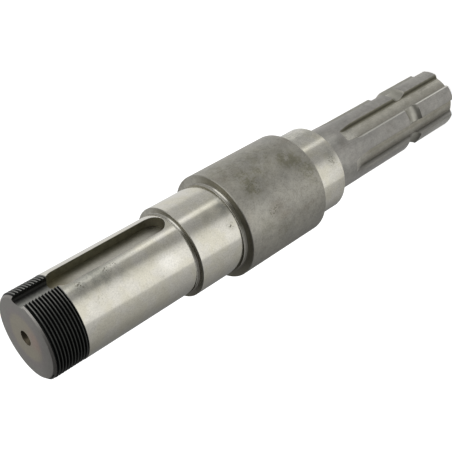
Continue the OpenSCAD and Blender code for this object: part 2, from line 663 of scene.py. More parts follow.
@dataclass(frozen=True)
class GroundSteel:
    """Ground seats: bright, with faint grinding marks, fine pits and a few dull spots."""

    tone: Tone = (0.645, 0.625, 0.56)
    warm: Tone = (0.63, 0.605, 0.51)
    pit: Tone = (0.16, 0.15, 0.12)
    dull: Tone = (0.34, 0.34, 0.3)
    glare: Tone = (0.83, 0.81, 0.75)
    roughness: float = 0.12
    anisotropy: float = 0.35
    pits: tuple[Stain, ...] = (
        *spots_on(20.0, (258.5, -118.2, 4.0, 0.95), (244.8, -117.1, 3.4, 0.9), (240.8, -113.5, 2.6, 0.7)),
        *spots_on(20.0, (253.8, -142.3, 6.0, 0.3), (223.6, -155.4, 6.0, 0.25)),
        *spots_on(22.5, (183.2, -147.5, 2.6, 1.0), (185.0, -144.0, 2.0, 0.6), (112.1, -141.5, 5.0, 0.9)),
    )
    dull_spots: tuple[Stain, ...] = (
        *spots_on(20.0, (258.0, -124.0, 6.5, 0.5), (250.5, -114.0, 9.0, 1.0), (261.0, -116.0, 7.0, 0.4)),
        *spots_on(20.0, (247.1, -125.0, 5.5, 0.5), (240.5, -129.8, 5.0, 0.45)),
        *spots_on(22.5, (192.5, -124.5, 6.5, 0.3), (182.7, -127.5, 5.5, 0.7), (181.0, -116.5, 6.0, 0.95)),
        *spots_on(22.5, (182.5, -146.0, 4.5, 0.4), (111.0, -130.0, 5.0, 0.35), (112.5, -141.0, 5.0, 0.45)),
        *spots_on(22.5, (116.0, -70.0, 24.0, 0.8)),
    )
    glares: tuple[Stain, ...] = spots_on(20.0, (219.7, -145.7, 8.0, 0.9), (214.0, -150.0, 8.0, 0.4))
    worn_band: Stain = Stain(20.0, 235.0, -113.5, 3.2, 0.5)
    worn_above: float = 226.0
    worn_fade: float = 10.0

    def draw(self, s: SteelShader) -> None:
        """Lay the warm clouds, the glares, the dull spots, the worn band and the pits.

        Args:
            s: The shader.
        """
        cloud = s.grain(110.0, 3.0, 0.55)
        marks = s.marks(50.0, 2500.0)
        s.colour = self.tone
        s.lay(cloud.ramp(0.4, 0.62), self.warm)
        s.lay((s.spot_cover(self.glares) * (0.6 + 0.4 * cloud)).at_most(0.9), self.glare)
        dull = s.spot_cover(self.dull_spots) * (0.45 + 0.55 * s.grain(420.0).ramp(0.35, 0.6))
        dull = dull.at_most(0.85)
        s.lay(dull, self.dull)
        x, y, _ = self.worn_band.place()
        band = s.between(s.beside(x, y), self.worn_band.spread, 0.0) * self.worn_band.strength
        s.lay(band * s.up(self.worn_above, self.worn_above + self.worn_fade), self.dull)
        pitted = s.spot_cover(self.pits, 0.02) + 0.1 * cloud.ramp(0.55, 0.75)
        pit = s.grain(GRAIN_PER_M, 1.0, 0.5).ramp(0.52, 0.62) * pitted
        s.lay(pit.at_most(0.9), self.pit)
        s.weather(0.26, 0.12)
        roughness = self.roughness * (0.9 + 0.2 * marks) + 0.12 * dull + 0.2 * pit
        s.close(roughness, s.grain(GRAIN_PER_M) + 0.5 * marks, 0.0006, anisotropy=self.anisotropy)


@dataclass(frozen=True)
class RoughTurnedSteel:
    """The collar: matt and grey, with olive and brown patches left by the stock."""

    tone: Tone = (0.35, 0.34, 0.303)
    pale: Tone = (0.4, 0.385, 0.335)
    olive: Tone = (0.24, 0.23, 0.165)
    brown: Tone = (0.27, 0.235, 0.185)
    bright: Tone = (0.47, 0.455, 0.4)
    roughness: float = 0.43
    patches: tuple[Stain, ...] = (
        *spots_on(26.5, (163.9, -111.2, 7.5, 0.7), (165.8, -124.0, 8.0, 0.9), (157.0, -117.0, 8.0, 0.6)),
        *spots_on(26.5, (138.0, -115.0, 9.0, 0.9), (133.0, -128.0, 9.0, 0.6), (131.1, -142.0, 7.0, 0.5)),
        *spots_on(26.5, (156.4, -177.4, 8.0, 0.3), (149.0, -96.0, 16.0, 0.4), (168.0, -84.0, 20.0, 0.35)),
    )
    specks: tuple[Stain, ...] = (
        *spots_on(26.5, (162.2, -156.5, 4.5, 0.65), (158.1, -153.6, 4.5, 0.55)),
        *spots_on(26.5, (164.0, -123.0, 10.0, 0.5), (138.0, -115.0, 10.0, 0.5)),
    )
    pale_patch: Stain = Stain(26.5, 168.0, -160.0, 14.0, 0.7)

    def draw(self, s: SteelShader) -> None:
        """Lay the pale clouds, the brown drift, the pale patch, the patches and the specks.

        Args:
            s: The shader.
        """
        cloud = s.grain(45.0, 4.0)
        s.colour = self.tone
        s.lay(cloud.ramp(0.35, 0.65), self.pale)
        s.lay(s.marks(70.0, 35.0, 3.0, 0.55).ramp(0.56, 0.72) * 0.45, self.brown)
        s.lay(self.pale_patch.mask(s), self.bright)
        patch = s.spot_cover(self.patches) * (0.15 + 1.1 * s.grain(240.0, 4.0, 0.75).ramp(0.4, 0.62))
        s.lay((patch + 0.25 * cloud.ramp(0.6, 0.72)).at_most(0.8), self.olive)
        speck = s.grain(GRAIN_PER_M, 1.0, 0.5).ramp(0.5, 0.62) * s.spot_cover(self.specks, 0.06)
        s.lay(speck, shade(self.olive, 0.4))
        s.weather(0.5, 0.3)
        roughness = self.roughness + 0.1 * (cloud - 0.5) + 0.05 * patch
        turning = s.marks(8.0, 1800.0, 1.0, 0.5)
        s.close(roughness, 0.6 * s.grain(900.0, 3.0, 0.65) + 0.4 * turning, 0.006)


@dataclass(frozen=True)
class BlackThreadSteel:
    """The blackened thread: near black in its roots, greyer on the crests, most so by the slot."""

    root: Tone = (0.006, 0.007, 0.006)
    crest: Tone = (0.075, 0.078, 0.072)
    worn_crest: Tone = (0.3, 0.3, 0.28)
    slot_edge: Tone = (0.3, 0.3, 0.275)
    roughness: float = 0.36
    crest_r: float = 19.9
    depth: float = 0.92
    worn_reach: float = 17.0
    slot_half: float = 4.0

    def draw(self, s: SteelShader) -> None:
        """Lay the worn crests over the black roots.

        Args:
            s: The shader.
        """
        grain = s.grain(900.0)
        wear = s.between(s.beside(0.0, -self.crest_r * MM), self.worn_reach, 3.5)
        by_slot = s.between(s.x.size(), self.slot_half + 0.9, self.slot_half + 0.3)
        crest = s.graph.mix(wear, self.crest, self.worn_crest)
        crest = s.graph.mix(by_slot * s.between(s.y, 0.0, -1.0), crest, self.slot_edge)
        s.colour = self.root
        s.lay(s.outward(self.crest_r - self.depth * 0.4, self.crest_r - self.depth * 0.03), crest)
        s.close(self.roughness + 0.15 * grain, grain, 0.002, 0.8)


@dataclass(frozen=True)
class TintedEnd:
    """The threaded end's face: grey by its rim, brown and pink where the heat reached."""

    rim: Tone = (0.32, 0.31, 0.29)
    ring: Tone = (0.325, 0.3, 0.29)
    disc: Tone = (0.395, 0.365, 0.295)
    pink: Tone = (0.43, 0.33, 0.285)
    disc_r: float = 12.5
    ring_r: float = 15.0
    shadow_heading: float = 175.0
    roughness: float = 0.5
    pink_side: Stain = Stain(8.0, 282.0, -165.0, 9.0, 1.0)

    def draw(self, s: SteelShader) -> None:
        """Lay the tints from the middle outwards, then the shadowed side.

        Args:
            s: The shader.
        """
        cloud, grain = s.grain(120.0, 3.0), s.grain(1000.0)
        wobble = s.radius + (cloud - 0.5) * (2.0 * MM)
        s.colour = self.disc
        s.lay(self.pink_side.mask(s) * cloud.ramp(0.2, 0.5), self.pink)
        s.lay(s.between(wobble, self.disc_r - 3.0, self.disc_r), self.ring)
        s.lay(s.between(wobble, self.ring_r - 2.0, self.ring_r), self.rim)
        s.lay(s.between(s.towards(self.shadow_heading), 4.0, 18.0) * 0.6, shade(self.rim, 0.55))
        s.lay(grain.ramp(0.4, 0.75) * 0.2, shade(self.rim, 0.6))
        s.weather(0.12, 0.08)
        s.close(self.roughness + 0.08 * (cloud - 0.5), 0.5 * grain + 0.5 * s.facing_rings(2200.0), 0.003)


@dataclass(frozen=True)
class KeywayFloor:
    """The keyway's floor: painted shade along the far wall, and brown towards the thread."""

    tone: Tone = (0.6, 0.58, 0.51)
    painted_shade: Tone = (0.19, 0.18, 0.14)
    brown: Tone = (0.3, 0.275, 0.185)
    roughness: float = 0.36
    brown_from: float = 252.0
    brown_to: float = 264.0
    shaded_from: float = 226.0
    shaded_to: float = 215.0

    def draw(self, s: SteelShader) -> None:
        """Lay the painted shade by the far wall, the brown end and the painted shade at the shaded end.

        Args:
            s: The shader.
        """
        cloud = s.grain(160.0, 3.0)
        s.colour = self.tone
        # Painted shade along the far wall.
        s.lay(s.between(s.x + (cloud - 0.5) * (3.0 * MM), 0.5, 6.0), self.painted_shade)
        s.lay(s.up(self.brown_from, self.brown_to) * 0.85, self.brown)
        s.lay(s.up(self.shaded_from, self.shaded_to) * 0.2, self.painted_shade)
        s.weather(0.2, 0.1)
        height = 0.4 * s.grain(1100.0) + 0.6 * s.marks(1400.0, 60.0)
        s.close(self.roughness + 0.1 * cloud, height, 0.003)


@dataclass(frozen=True)
class KeywayWall:
    """The keyway's walls: dark with painted shade, browner and less metallic at the round end by the
    shoulder.
    """

    painted_shade: Tone = (0.2, 0.192, 0.135)
    brown: Tone = (0.1, 0.09, 0.058)
    roughness: float = 0.45
    brown_below: float = 214.0

    def draw(self, s: SteelShader) -> None:
        """Lay the brown end and the darker clouds.

        Args:
            s: The shader.
        """
        grain = s.grain(1100.0)
        browned = s.up(self.brown_below, self.brown_below - 4.0)
        # The dark tone over the walls is painted shade in the keyway.
        s.colour = self.painted_shade
        s.lay(browned, self.brown)
        s.lay(s.grain(350.0, 3.0, 0.65).ramp(0.4, 0.65) * 0.5, shade(self.painted_shade, 0.6))
        s.close(self.roughness + 0.1 * grain, grain, 0.003, 1.0 - 0.55 * browned)


@dataclass(frozen=True)
class BlackSlot:
    """The lock washer's slot: black, its floor a little greyer towards the near edge, where light is painted
    in.
    """

    black: Tone = (0.018, 0.018, 0.016)
    grey: Tone = (0.5, 0.5, 0.46)
    roughness: float = 0.45

    def draw(self, s: SteelShader) -> None:
        """Lay the grey side over the black.

        Args:
            s: The shader.
        """
        grain = s.grain(800.0)
        s.colour = self.black
        # Painted light on the floor towards the near edge.
        s.lay(s.between(s.x + (grain - 0.5) * (1.5 * MM), 3.0, -4.0), self.grey)
        s.close(self.roughness + 0.1 * grain, grain, 0.003, 0.85)


@dataclass(frozen=True)
class SplineSteel:
    """The splined end's turned outside: matt grey, lightly brushed along the shaft."""

    tone: Tone = (0.35, 0.34, 0.315)
    pale: Tone = (0.39, 0.375, 0.345)
    dark: Tone = (0.24, 0.23, 0.2)
    sheen: Tone = (0.62, 0.61, 0.55)
    roughness: float = 0.4
    sheens: tuple[Stain, ...] = (
        *spots_on(17.4, (100.0, -108.0, 8.0, 0.45), (100.0, -152.0, 6.0, 0.25), (99.0, -182.0, 12.0, 0.3)),
        *spots_on(17.4, (11.0, 144.0, 20.0, 0.6), (11.0, -62.0, 20.0, 0.5)),
    )
    # Smudges higher up, and painted shade on the teeth nearer the end.
    smudges_and_shade: tuple[Stain, ...] = (
        *spots_on(17.4, (100.0, -84.0, 9.0, 0.4), (95.0, -124.0, 5.0, 0.5)),
        *spots_on(17.4, (60.0, -140.0, 9.0, 0.3), (30.0, -152.0, 9.0, 0.25)),
    )

    def draw(self, s: SteelShader) -> None:
        """Lay the pale clouds, the brushing, the painted sheens, and the smudges with painted shade.

        Args:
            s: The shader.
        """
        cloud, brushed = s.marks(130.0, 60.0, 3.0), s.marks(1500.0, 45.0)
        broken = 0.5 + 0.8 * s.grain(240.0, 3.0, 0.7)
        s.colour = self.tone
        s.lay(cloud.ramp(0.35, 0.65), self.pale)
        s.lay(brushed.ramp(0.5, 0.75) * 0.3, self.dark)
        s.lay((s.spot_cover(self.sheens) * broken).at_most(0.8), self.sheen)
        # Smudges, and painted shade on the teeth nearer the end.
        s.lay((s.spot_cover(self.smudges_and_shade) * broken).at_most(0.8), self.dark)
        s.weather(0.28, 0.3)
        s.close(self.roughness + 0.1 * (cloud - 0.5), 0.5 * s.grain(1000.0) + 0.5 * brushed, 0.004)


@dataclass(frozen=True)
class GapFloor:
    """The milled floor of a spline gap: mottled, paler where the cutter ran out, with painted shade on one
    side of each gap and on the gaps that face one heading.
    """

    tone: Tone = (0.6, 0.58, 0.505)
    pale: Tone = (0.58, 0.565, 0.505)
    dark: Tone = (0.3, 0.28, 0.22)
    roughness: float = 0.4
    runout_from: float = 76.0
    runout_to: float = 84.0
    teeth: int = 6
    turn: float = -87.5
    shade_heading: float = 180.0

    def draw(self, s: SteelShader) -> None:
        """Lay the painted shade on one side and by heading, the clouds, the run-out and the brushing.

        Args:
            s: The shader.
        """
        cloud, brushed = s.marks(260.0, 120.0, 3.0), s.marks(1600.0, 60.0)
        grain = s.grain(900.0, 2.0, 0.65)
        share = s.share_of_pitch(self.teeth, self.turn)
        # Painted shade over one side of each gap's floor.
        s.colour = shade(self.tone, 0.66)
        s.lay(share.ramp(0.3, 0.72), self.tone)
        # Painted shade on the gaps that face the shade heading.
        s.lay(s.facing(self.shade_heading, 0.72, 0.94) * share.ramp(0.48, 0.6) * 0.55, self.dark)
        s.lay(cloud.ramp(0.4, 0.7) * 0.3, self.dark)
        s.lay(s.up(self.runout_from, self.runout_to) * (0.5 + 0.5 * grain.ramp(0.35, 0.6)), self.pale)
        s.lay(brushed.ramp(0.5, 0.75) * 0.25, self.dark)
        s.weather(0.25, 0.3)
        s.close(self.roughness + 0.1 * cloud, 0.5 * grain + 0.5 * brushed, 0.004)


@dataclass(frozen=True)
class GapWall:
    """The milled walls of the spline gaps: painted shade on the walls that face one heading, lighter towards
    their tops and feet.
    """

    lit_side: Tone = (0.46, 0.45, 0.4)
    painted_shade: Tone = (0.125, 0.118, 0.085)
    foot: Tone = (0.24, 0.23, 0.18)
    upper: Tone = (0.28, 0.27, 0.215)
    roughness: float = 0.42
    shade_heading: float = -150.0

    def draw(self, s: SteelShader) -> None:
        """Lay the painted shade on the walls that face the shade heading.

        Args:
            s: The shader.
        """
        cloud = s.grain(300.0, 3.0)
        # Painted shade on the walls that face the shade heading, darkest between their foot and top.
        shaded_walls = s.between(s.towards(self.shade_heading), 3.0, 9.0) * (0.85 + 0.3 * cloud).at_most(1.0)
        run = s.graph.mix(s.outward(15.8, 17.2), self.painted_shade, self.upper)
        run = s.graph.mix(s.outward(15.6, 14.6), run, self.foot)
        s.colour = self.lit_side
        s.lay(shaded_walls, run)
        s.weather(0.15, 0.15)
        s.close(self.roughness + 0.1 * cloud, s.marks(1600.0, 60.0), 0.003)


def finishes() -> Materials:
    """Draw every finish.

    Returns:
        The material of each finish, in the order of the Enum.
    """
    # The undercut: a painted highlight on its pale taper, over light and shade painted by heading.
    undercut = ReliefSteel(
        lit_tone=(0.62, 0.605, 0.55), painted_shade=(0.19, 0.18, 0.14), grey=(0.44, 0.43, 0.38), taper=(0.92, 0.9, 0.82)
    )
    recipes = {
        Finish.GROUND: GroundSteel(),
        Finish.ROUGH_TURNED: RoughTurnedSteel(),
        Finish.FACED: FacedSteel(),
        Finish.RELIEF: ReliefSteel(),
        Finish.UNDERCUT: undercut,
        Finish.GROOVE: PlainSteel((0.4, 0.39, 0.34), 0.36, mottle=0.1),
        Finish.RIM: PlainSteel((0.33, 0.32, 0.28), 0.4, mark_depth=0.0005),
        Finish.EDGE: PlainSteel((0.66, 0.65, 0.6), 0.25, mark_depth=0.0005, mottle=0.05),
        Finish.BURR: BurredEdge(),
        Finish.FLANK: ToothFlank(),
        Finish.BLACK_THREAD: BlackThreadSteel(),
        Finish.THREAD_EDGE: PlainSteel((0.3, 0.3, 0.28), 0.4),
        Finish.TINTED_END: TintedEnd(),
        # The centre hole's dark tone is painted shade in the hole.
        Finish.CENTRE: PlainSteel((0.1, 0.085, 0.06), 0.45),
        Finish.KEY_FLOOR: KeywayFloor(),
        Finish.KEY_WALL: KeywayWall(),
        Finish.SLOT: BlackSlot(),
        Finish.SPLINE: SplineSteel(),
        Finish.GAP_FLOOR: GapFloor(),
        Finish.GAP_WALL: GapWall(),
    }
    shaders = {kind: SteelShader(kind) for kind in Finish}
    for kind, shader in shaders.items():
        recipes[kind].draw(shader)
    return {kind: shader.material for kind, shader in shaders.items()}


# Meshes


@dataclass
class Surface:
    """Loose mesh data: points in millimetres, faces, and the finish of each face."""

    points: list[Point] = field(default_factory=list)
    faces: list[tuple[int, ...]] = field(default_factory=list)
    finishes: list[Finish] = field(default_factory=list)

    def add(self, other: "Surface") -> None:
        """Take in another surface.

        Args:
            other: The surface to add.
        """
        start = len(self.points)
        self.points += other.points
        self.faces += [tuple(start + i for i in face) for face in other.faces]
        self.finishes += other.finishes

    def ring(self, points: Iterable[Point]) -> range:
        """Add points, and give their numbers."""
        first = len(self.points)
        self.points += points
        return range(first, len(self.points))

    def face(self, corners: Iterable[int], finish: Finish) -> None:
        """Add a face, unless its corners fall together.

        Args:
            corners: Numbers of its points.
            finish: Its finish.
        """
        distinct = tuple(dict.fromkeys(corners))
        if len(distinct) > 2:
            self.faces.append(distinct)
            self.finishes.append(finish)

    def skin(self, rings: Sequence[Sequence[int]], finishes: Sequence[Sequence[Finish]]) -> None:
        """Join each ring to the next.

        Args:
            rings: Rings with as many points each.
            finishes: For each pair of rings, the finish of every step around them.
        """
        for low, high, kinds in zip(rings, rings[1:], finishes):
            for i, kind in enumerate(kinds):
                j = (i + 1) % len(low)
                self.face((low[i], low[j], high[j], high[i]), kind)

    def cap(self, rings: Sequence[Sequence[int]], finish: Finish) -> None:
        """Close the first and the last ring."""
        self.face(rings[0], finish)
        self.face(rings[-1], finish)

    def to_object(self, name: str, materials: Materials) -> bpy.types.Object:
        """Weld the surface and make it an object, in metres.

        Args:
            name: The object's name.
            materials: The material of each finish.

        Returns:
            The object, with its faces pointing outwards.
        """
        mesh = bpy.data.meshes.new(name)
        mesh.from_pydata([[c * MM for c in point] for point in self.points], [], self.faces)
        for material in materials.values():
            mesh.materials.append(material)
        mesh.polygons.foreach_set("material_index", [f.index for f in self.finishes])
        grown = bmesh.new()
        grown.from_mesh(mesh)
        bmesh.ops.remove_doubles(grown, verts=grown.verts, dist=WELD)
        bmesh.ops.dissolve_degenerate(grown, edges=grown.edges, dist=WELD / 4)
        bmesh.ops.recalc_face_normals(grown, faces=grown.faces)
        grown.to_mesh(mesh)
        grown.free()
        return linked(name, mesh)


class TurnedProfile:
    """Half of a turned section, drawn point by point from the axis out and along the shaft."""

    def __init__(self, r: float, z: float) -> None:
        """Start at a radius and height, in millimetres."""
        self.points = [(r, z)]
        self.finishes: list[Finish] = []

    def to(self, r: float, z: float, finish: Finish) -> "TurnedProfile":
        """Draw a straight line to a radius and height, in a finish."""
        self.points.append((r, z))
        self.finishes.append(finish)
        return self

    def arc(
        self, r: float, z: float, radius: float, start: float, end: float, finish: Finish, steps: int = 6
    ) -> None:
        """Draw an arc about a centre.

        Args:
            r: Radius of the arc's centre from the axis.
            z: Height of the arc's centre.
            radius: The arc's own radius.
            start: Angle at which it starts, in degrees from outwards towards up.
            end: Angle at which it ends.
            finish: The finish that it is left in.
            steps: Straight pieces that it is drawn with.
        """
        for i in range(steps + 1):
            angle = math.radians(start + (end - start) * i / steps)
            place = (r + radius * math.cos(angle), z + radius * math.sin(angle))
            if math.dist(place, self.points[-1]) > WELD / MM:
                self.to(*place, finish)

    def revolved(self) -> Surface:
        """Turn the profile about the axis.

        Returns:
            The surface, with one point where the profile meets the axis.
        """
        surface = Surface()
        turns = [2 * math.pi * i / COLUMNS for i in range(COLUMNS)]
        rings: list[Sequence[int]] = []
        for r, z in self.points:
            ring = surface.ring([(r * math.cos(a), r * math.sin(a), z) for a in (turns if r else [0.0])])
            rings.append(ring if r else [ring[0]] * COLUMNS)
        surface.skin(rings, [[finish] * COLUMNS for finish in self.finishes])
        return surface


def evaluated(piece: bpy.types.Object, name: str) -> bpy.types.Mesh:
    """Turn an object and its modifiers into a plain mesh.

    Args:
        piece: The object.
        name: Name for the new mesh.

    Returns:
        The mesh.
    """
    bpy.context.view_layer.update()
    graph = bpy.context.evaluated_depsgraph_get()
    mesh = bpy.data.meshes.new_from_object(piece.evaluated_get(graph))
    mesh.name = name
    return mesh


class ShapeTree(Graph):
    """A geometry node tree with a named input for each of its values."""

    SOCKETS = {
        int: "NodeSocketInt",
        float: "NodeSocketFloat",
        bpy.types.Material: "NodeSocketMaterial",
        bpy.types.Object: "NodeSocketObject",
    }

    def __init__(self, name: str, values: dict[str, Any]) -> None:
        """Start the tree.

        Args:
            name: The tree's name.
            values: What each input is set to, by the input's name.
        """
        super().__init__(bpy.data.node_groups.new(name, "GeometryNodeTree"))
        self.values = values
        for label, value in values.items():
            socket = next(kind for sort, kind in self.SOCKETS.items() if isinstance(value, sort))
            self.tree.interface.new_socket(name=label, in_out="INPUT", socket_type=socket)
        self.tree.interface.new_socket(name="Geometry", in_out="OUTPUT", socket_type="NodeSocketGeometry")
        entry = self.node("NodeGroupInput")
        self.given = {label: self.out(entry, label) for label in values}
        self.index = self.out(self.node("GeometryNodeInputIndex"))

    def pick(self, index: Signal, values: list[Any]) -> Signal:
        """Pick one of several values.

        Args:
            index: The whole number that picks.
            values: The values, from number 0.

        Returns:
            The value that is picked.
        """
        node = self.node("GeometryNodeIndexSwitch", {"data_type": "FLOAT"})
        while len(node.index_switch_items) < len(values):
            node.index_switch_items.new()
        for socket, value in zip(node.inputs, [index, *values]):
            self.plug(socket, value)
        return self.out(node)

    def paint(self, geometry: Any, material: Signal, selection: Any = True) -> Any:
        """Set a material on the selected faces."""
        values = {"Geometry": geometry, "Selection": selection, "Material": material}
        return self.node("GeometryNodeSetMaterial", {}, values).outputs[0]

    def finish(self, geometry: Any, material: Signal, marked: dict[Finish, Signal]) -> None:
        """End the tree with real geometry in its materials.

        Args:
            geometry: The geometry to hand on.
            material: The material input that every face takes first.
            marked: Material inputs for the faces that carry a finish's number.
        """
        real = self.node("GeometryNodeRealizeInstances", {}, {"Geometry": geometry})
        painted = self.paint(real.outputs[0], material)
        for finish, other in marked.items():
            mark = self.node("GeometryNodeInputNamedAttribute", {"data_type": "INT"}, {"Name": FINISH_MARK})
            found = (self.out(mark) - finish.index).size().ramp(0.5, 0.0)
            painted = self.paint(painted, other, found)
        self.node("NodeGroupOutput", {}, {"Geometry": painted})

    def run(self) -> bpy.types.Mesh:
        """Run the tree on an empty object.

        Returns:
            The plain mesh that comes out, with the tree's name.
        """
        name = self.tree.name
        carrier = linked(name, bpy.data.meshes.new(name))
        modifier = carrier.modifiers.new(name, "NODES")
        modifier.node_group = self.tree
        for item in self.tree.interface.items_tree:
            if item.in_out == "INPUT":
                modifier[item.identifier] = self.values[item.name]
        mesh = evaluated(carrier, name)
        bpy.data.objects.remove(carrier)
        return mesh


# Sections of the shaft


@dataclass
class CentreHole:
    """The 60 degree hole that the lathe centre ran in."""

    pilot_r: float = 1.575
    depth: float = 8.0
    countersink_r: float = 3.5
    half_angle: float = 30.0
    drill_angle: float = 59.0

    def heights(self) -> tuple[float, float]:
        """How deep the countersink and the drill's tip reach."""
        countersink = (self.countersink_r - self.pilot_r) / math.tan(math.radians(self.half_angle))
        return countersink, self.depth + self.pilot_r / math.tan(math.radians(self.drill_angle))


@dataclass
class ThreadedEnd:
    """The threaded end: a helical thread between the keyed seat and a chamfered face."""

    end: float
    start: float
    crest_r: float = 19.9
    depth: float = 0.92
    pitch: float = 1.5
    mouth: float = 1.3125
    root_flat: float = 0.25
    chamfer: float = 1.3
    fade: float = 0.7
    start_angle: float = 210.5
    rows_per_turn: int = 6
    spare_turns: int = 3
    turns_past_end: int = 2

    @property
    def face_r(self) -> float:
        """Radius at which the chamfer meets the end face."""
        return self.crest_r - self.chamfer

    def tree(self, material: bpy.types.Material) -> ShapeTree:
        """Draw the geometry tree that winds the thread.

        Args:
            material: The thread's material.

        Returns:
            The tree. It bends a grid into a tube: rows run along the thread's groove, columns around
            the shaft, and each row climbs one pitch in a turn.
        """
        values = {
            "Start Height": self.start,
            "End Height": self.end,
            "Crest Radius": self.crest_r,
            "Depth": self.depth,
            "Pitch": self.pitch,
            "Mouth": self.mouth,
            "Root Flat": self.root_flat,
            "Face Radius": self.face_r,
            "Fade": self.fade,
            "Start Angle": math.radians(self.start_angle),
            "Turns": math.ceil((self.end - self.start) / self.pitch) + self.spare_turns,
            "Columns": COLUMNS,
            "Material": material,
        }
        tree = ShapeTree("thread_turns", values)
        given, mouth, flat = tree.given, tree.given["Mouth"], tree.given["Root Flat"]
        across = given["Columns"] + 1
        size = {"Vertices X": given["Turns"] * self.rows_per_turn, "Vertices Y": across}
        grid = tree.node("GeometryNodeMeshGrid", {}, size)
        row = ((tree.index + 0.5) / across).floor()
        column = tree.index - row * across
        turn = ((row + 0.5) / self.rows_per_turn).floor()
        step = row - turn * self.rows_per_turn
        flank = (mouth - flat) / 2
        offset = tree.pick(step, [0.0, flank / 2, flank, flank + flat, flank * 1.5 + flat, mouth])
        share = tree.pick(step, [0.0, 0.5, 1.0, 1.0, 0.5, 0.0])
        angle = column / given["Columns"] * (2 * math.pi)
        climbed = (angle - given["Start Angle"]) / (2 * math.pi) + turn
        climbed = climbed - given["Turns"] + self.turns_past_end
        height = given["End Height"] + climbed * given["Pitch"] + offset - mouth / 2
        height = height.at_least(given["Start Height"]).at_most(given["End Height"])
        cut = share * given["Depth"] * ((height - given["Start Height"]) / given["Fade"]).clamped()
        radius = (given["Crest Radius"] - cut).at_most(given["Face Radius"] + given["End Height"] - height)
        place = tree.vector(radius * angle.cos(), radius * angle.sin(), height)
        moved = {"Geometry": grid.outputs["Mesh"], "Position": place}
        tube = tree.node("GeometryNodeSetPosition", {}, moved)
        joined = {"Geometry": tube.outputs[0], "Distance": WELD / MM}
        welded = tree.node("GeometryNodeMergeByDistance", {}, joined)
        tree.finish(welded.outputs[0], given["Material"], {})
        return tree

    def surface(self, material: bpy.types.Material) -> Surface:
        """Wind the thread.

        Args:
            material: The thread's material.

        Returns:
            An open tube from the keyed seat to the rim of the end face.
        """
        mesh = self.tree(material).run()
        surface = Surface([tuple(vertex.co) for vertex in mesh.vertices])
        rim = self.face_r + self.end
        on_chamfer = [abs(math.hypot(x, y) + z - rim) < WELD / MM for x, y, z in surface.points]
        for face in mesh.polygons:
            tinted = all(on_chamfer[i] for i in face.vertices)
            surface.face(face.vertices, Finish.TINTED_END if tinted else Finish.BLACK_THREAD)
        return surface


@dataclass
class Keyway:
    """The keyway in the keyed seat, and the lock washer's slot that runs on from it."""

    seat_r: float
    low: float
    top: float
    width: float = 12.0
    depth: float = 5.0
    length: float = 60.0
    edge_break: float = 0.1
    slot_width: float = 8.0
    slot_depth: float = 3.0
    slot_corner: float = 1.0
    slot_break: float = 0.25
    reach: float = 2.0
    end_steps: int = 32
    corner_steps: int = 6

    def outline(self) -> list[tuple[float, float, float, float]]:
        """The keyway seen from its mouth.

        Returns:
            Each point's x and z, and the outward direction there.
        """
        half = self.width / 2
        points = []
        for middle, start in ((self.low + half, math.pi), (self.low + self.length - half, 0.0)):
            for i in range(self.end_steps + 1):
                angle = start + math.pi * i / self.end_steps
                nx, nz = math.cos(angle), math.sin(angle)
                points.append((half * nx, middle + half * nz, nx, nz))
        return points

    def key_cutter(self) -> Surface:
        """The space that the key mill takes out, its mouth flared for the broken edge.

        Returns:
            A closed surface.
        """
        surface = Surface()

        def ring(grow: float, level: Callable[[float], float]) -> range:
            """The outline, grown outwards, at a height over the axis."""
            grown = [(x + nx * grow, z + nz * grow) for x, z, nx, nz in self.outline()]
            return surface.ring([(x, -level(x), z) for x, z in grown])

        def skin(x: float) -> float:
            """Height of the seat over the axis."""
            return math.sqrt(max(self.seat_r**2 - x**2, 0.0))

        rings = [
            ring(0.0, lambda x: self.seat_r - self.depth),
            ring(0.0, lambda x: skin(x) - self.edge_break),
            ring(self.edge_break * 2, lambda x: skin(x) + self.edge_break),
            ring(self.edge_break * 2, lambda x: self.seat_r + self.reach),
        ]
        kinds = [Finish.KEY_WALL, Finish.EDGE, Finish.EDGE]
        surface.skin(rings, [[kind] * len(rings[0]) for kind in kinds])
        surface.cap(rings, Finish.KEY_FLOOR)
        return surface

    def slot_section(self) -> tuple[list[tuple[float, float]], list[Finish]]:
        """The slot seen along the shaft, opening towards -Y.

        Returns:
            Its points from one mouth over the floor to the other, and the finish after each point.
        """
        half, floor = self.slot_width / 2, self.seat_r - self.slot_depth
        skin = math.sqrt(self.seat_r**2 - half**2)
        mouth = self.seat_r + self.reach
        corner = self.slot_corner
        right = [(half + mouth - skin + self.slot_break, mouth), (half, skin - self.slot_break)]
        for i in range(self.corner_steps + 1):
            angle = math.radians(90 * i / self.corner_steps)
            x = half - corner + corner * math.cos(angle)
            right.append((x, floor + corner - corner * math.sin(angle)))
        left = [(-x, y) for x, y in reversed(right)]
        inside = [Finish.SLOT] * (2 * len(right) - 3)
        return right + left, [Finish.THREAD_EDGE, *inside, Finish.THREAD_EDGE, Finish.SLOT]

    def slot_cutter(self) -> Surface:
        """The space that the slot's mill takes out.

        Returns:
            A closed surface.
        """
        section, kinds = self.slot_section()
        start = self.low + self.length - self.width / 2
        surface = Surface()
        rings = [surface.ring([(x, -y, z) for x, y in section]) for z in (start, self.top)]
        surface.skin(rings, [kinds])
        surface.cap(rings, Finish.SLOT)
        return surface


